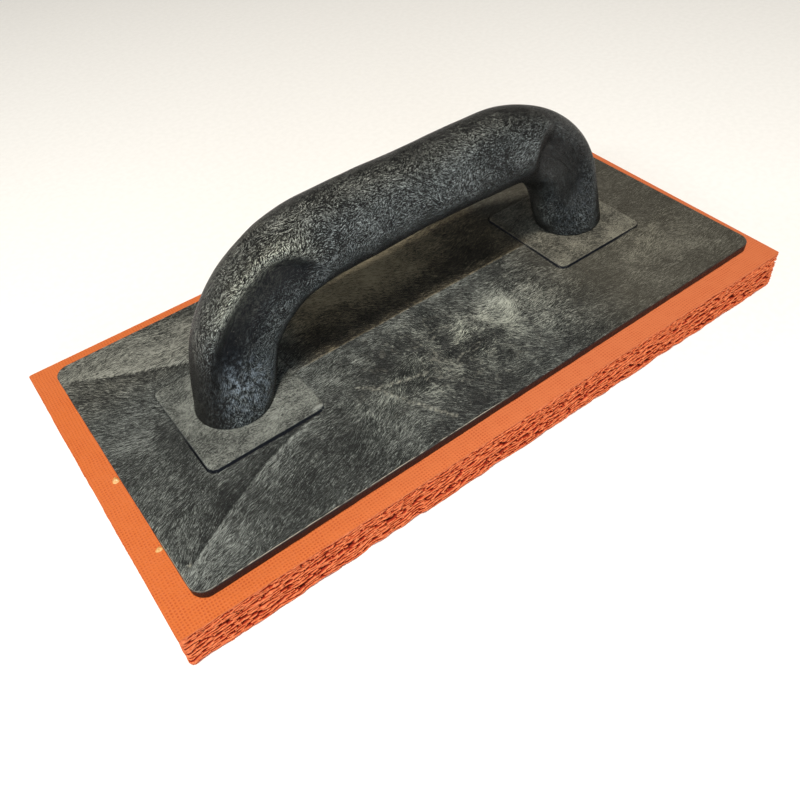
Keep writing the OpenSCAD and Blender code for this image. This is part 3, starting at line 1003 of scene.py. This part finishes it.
def handle_paint():
    """The same plastic on the handle, with a finer, felt-like grain, scuffed feet, and painted glints, cool
    light and shade.
    """
    p = Paint("grey_handle_plastic")
    place = p.place()
    skin = p.attribute("skin", "Vector")
    hollow = p.attribute("hollow")
    dark, middle, pale = to_linear(9, 10, 11), to_linear(36, 38, 39), to_linear(174, 178, 170)
    painted_glint_colour, scuff_and_cool_light_colour = to_linear(252, 250, 222), to_linear(176, 186, 190)
    hollow_shade_black, painted_shade_black, edge_on_shade_black = to_linear(7, 9, 15), to_linear(13, 10, 7), to_linear(8, 8, 8)
    cool_light_tint = (0.90, 0.97, 1.09, 1.0)

    # the strokes run every way, except in the hollows, where they follow the handle
    drift = p.sway(p.noise(place, 16.0, 2.0), 2.5)
    drift = p.math("MULTIPLY", drift, p.math("MULTIPLY_ADD", hollow, -0.8, 1.0))
    fine = p.hairs(skin, drift, 2.7, 1.0, 0.15, 0.9)
    medium = p.hairs(skin, drift, 4.8, 1.7, 0.19, 0.7)
    mass = p.weighted((fine, 0.40), (medium, 0.38), (p.noise(place, 0.5, 3.0, 0.7), 0.22))
    level = p.math("ADD", mass, p.sway(p.noise(place, 14.0, 2.0, 0.5), 0.04))
    tone = p.ramp(level, 0.445, 0.605)
    color = p.mix(p.ramp(tone, 0.0, 0.55), dark, middle)
    color = p.mix(p.ramp(tone, 0.5, 1.0), color, pale)
    # painted glints on hairs on the outer side of the left bend
    glint = p.math("MULTIPLY", p.attribute("glint"), p.ramp(level, 0.50, 0.535))
    color = p.mix(glint, color, painted_glint_colour)
    # painted shade in the hollows of the legs
    color = p.mix(p.math("MULTIPLY", hollow, 0.94), color, hollow_shade_black)
    # the sides of the feet are scuffed, and painted pale with bluish light
    blotch = p.ramp(p.noise(place, 2.2, 4.0, 0.65), 0.40, 0.66)
    scuff_and_cool_light_share = p.math("MULTIPLY", p.attribute("scuff_and_cool_light"), p.math("MULTIPLY", p.ramp(level, 0.44, 0.54), blotch))
    color = p.mix(scuff_and_cool_light_share, color, scuff_and_cool_light_colour)
    # painted shade on the right leg, under the grip's middle and on the left leg's low outer side
    color = p.mix(p.attribute("painted_shade"), color, painted_shade_black)
    # painted cool light makes the near side a little bluish, and painted shade darkens the skin where it is
    # seen edge on
    facing = p.node("ShaderNodeSeparateXYZ", None, {0: p.node("ShaderNodeNewGeometry").outputs["Normal"]})
    nearness = p.ramp(p.math("MULTIPLY", facing.outputs[1], -1.0), 0.1, 0.8)
    color = p.mix(nearness, color, p.mix(1.0, color, cool_light_tint, "MULTIPLY"))
    edge_on = p.node("ShaderNodeLayerWeight", None, {"Blend": 0.5}).outputs["Facing"]
    color = p.mix(p.ramp(edge_on, 0.30, 0.85, 0.0, 0.9), color, edge_on_shade_black)
    rough = p.math("MULTIPLY_ADD", glint, -0.08, p.ramp(mass, 0.42, 0.58, 0.44, 0.24))
    return p.finish(color, rough, p.bump(mass, 1.1), Specular_IOR_Level=0.22)


def glue_paint():
    p = Paint("dried_yellow_glue")
    place = p.place()
    cloudy = p.noise(place, 1.3, 3.0)
    color = p.mix(p.ramp(cloudy, 0.3, 0.7), to_linear(206, 146, 78), to_linear(226, 184, 122))
    normal = p.bump(p.noise(place, 0.8, 2.0), 0.1)
    return p.finish(color, 0.35, normal, Specular_IOR_Level=0.5)


def zinc_paint():
    p = Paint("zinc_plated_steel")
    place = p.place()
    cloudy = p.noise(place, 2.2, 3.0)
    color = p.mix(p.ramp(cloudy, 0.3, 0.7), to_linear(150, 148, 140), to_linear(196, 196, 194))
    rough = p.ramp(p.noise(place, 0.7, 3.0), 0.3, 0.7, 0.28, 0.5)
    normal = p.bump(cloudy, 0.02)
    return p.finish(color, rough, normal, Metallic=1.0)


def floor_paint():
    p = Paint("pale_paper_floor")
    place = p.place()
    fibres = p.ramp(p.noise(place, 3.0, 4.0), 0.3, 0.7)
    color = p.mix(fibres, to_linear(246, 246, 246), to_linear(250, 250, 250))
    normal = p.bump(p.noise(place, 0.8, 3.0), 0.01)
    return p.finish(color, 0.9, normal, Specular_IOR_Level=0.1)


# ---------------------------------------------------------------- floor, light and camera

FLOOR_HALF, FLOOR_DROP = 4.0, 0.0005


def make_floor():
    mesh = bpy.data.meshes.new("floor")
    corners = [(x * FLOOR_HALF, y * FLOOR_HALF, 0) for x, y in ((-1, -1), (1, -1), (1, 1), (-1, 1))]
    mesh.from_pydata(corners, [], [(0, 1, 2, 3)])
    mesh.materials.append(floor_paint())
    floor = bpy.data.objects.new("floor", mesh)
    floor.location.z = -FLOOR_DROP
    bpy.context.scene.collection.objects.link(floor)


def area_light(name, place, aim, size, power, color):
    data = bpy.data.lights.new(name, "AREA")
    data.shape = "DISK"
    data.size = size
    data.energy = power
    data.color = color
    light = bpy.data.objects.new(name, data)
    light.location = place
    light.rotation_euler = (Vector(aim) - Vector(place)).to_track_quat("-Z", "Y").to_euler()
    bpy.context.scene.collection.objects.link(light)


def make_lights():
    area_light("overhead_lamp", (-0.20, -0.36, 1.15), (0, 0, 0), 0.14, 15.0, (1.0, 0.93, 0.82))
    area_light("low_window", (-0.55, -1.25, 0.42), (0, 0, 0.03), 0.7, 4.8, (0.70, 0.86, 1.0))
    area_light("left_window", (-0.72, -0.55, 1.10), (0, 0, 0.03), 0.4, 3.9, (0.84, 0.92, 1.0))
    area_light("back_left_window", (-0.86, 0.50, 0.46), (-0.08, 0, 0.05), 0.25, 1.8, (1.0, 0.97, 0.88))
    world = bpy.data.worlds.new("room")
    world.use_nodes = True
    sky = world.node_tree.nodes["Background"]
    sky.inputs["Color"].default_value = (1.0, 0.95, 0.88, 1.0)
    sky.inputs["Strength"].default_value = 0.09
    bpy.context.scene.world = world
    bpy.context.scene.view_settings.view_transform = "Standard"


def make_camera():
    """The camera stands over the near left end and looks down along the float, leaning a little."""
    aim = Vector((-0.0334, -0.0347, 0.0165))
    distance = 0.2825
    azimuth, elevation, roll = [math.radians(a) for a in (31.86, 47.97, 5.8)]
    level = math.cos(elevation)
    ahead = Vector((level * math.sin(azimuth), level * math.cos(azimuth), -math.sin(elevation)))
    right = ahead.cross(Vector((0, 0, 1))).normalized()
    up = right.cross(ahead)
    leaning_right = math.cos(roll) * right - math.sin(roll) * up
    leaning_up = math.sin(roll) * right + math.cos(roll) * up
    turn = Matrix((leaning_right, leaning_up, -ahead)).transposed()
    data = bpy.data.cameras.new("camera")
    data.lens = 34.5
    data.sensor_width = 36.0
    data.clip_start = 0.01
    camera = bpy.data.objects.new("camera", data)
    camera.matrix_world = Matrix.Translation(aim - distance * ahead) @ turn.to_4x4()
    bpy.context.scene.collection.objects.link(camera)
    bpy.context.scene.camera = camera


# ---------------------------------------------------------------- the scene

make_camera()
make_lights()
make_floor()
sponge_pad(rubber_paint())
plate_piece(plate_paint())
handle_piece(handle_paint())
glue_piece(glue_paint())
zinc = zinc_paint()
for name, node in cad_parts.items():
    if name.startswith("screw"):
        node.data.materials.clear()
        node.data.materials.append(zinc)
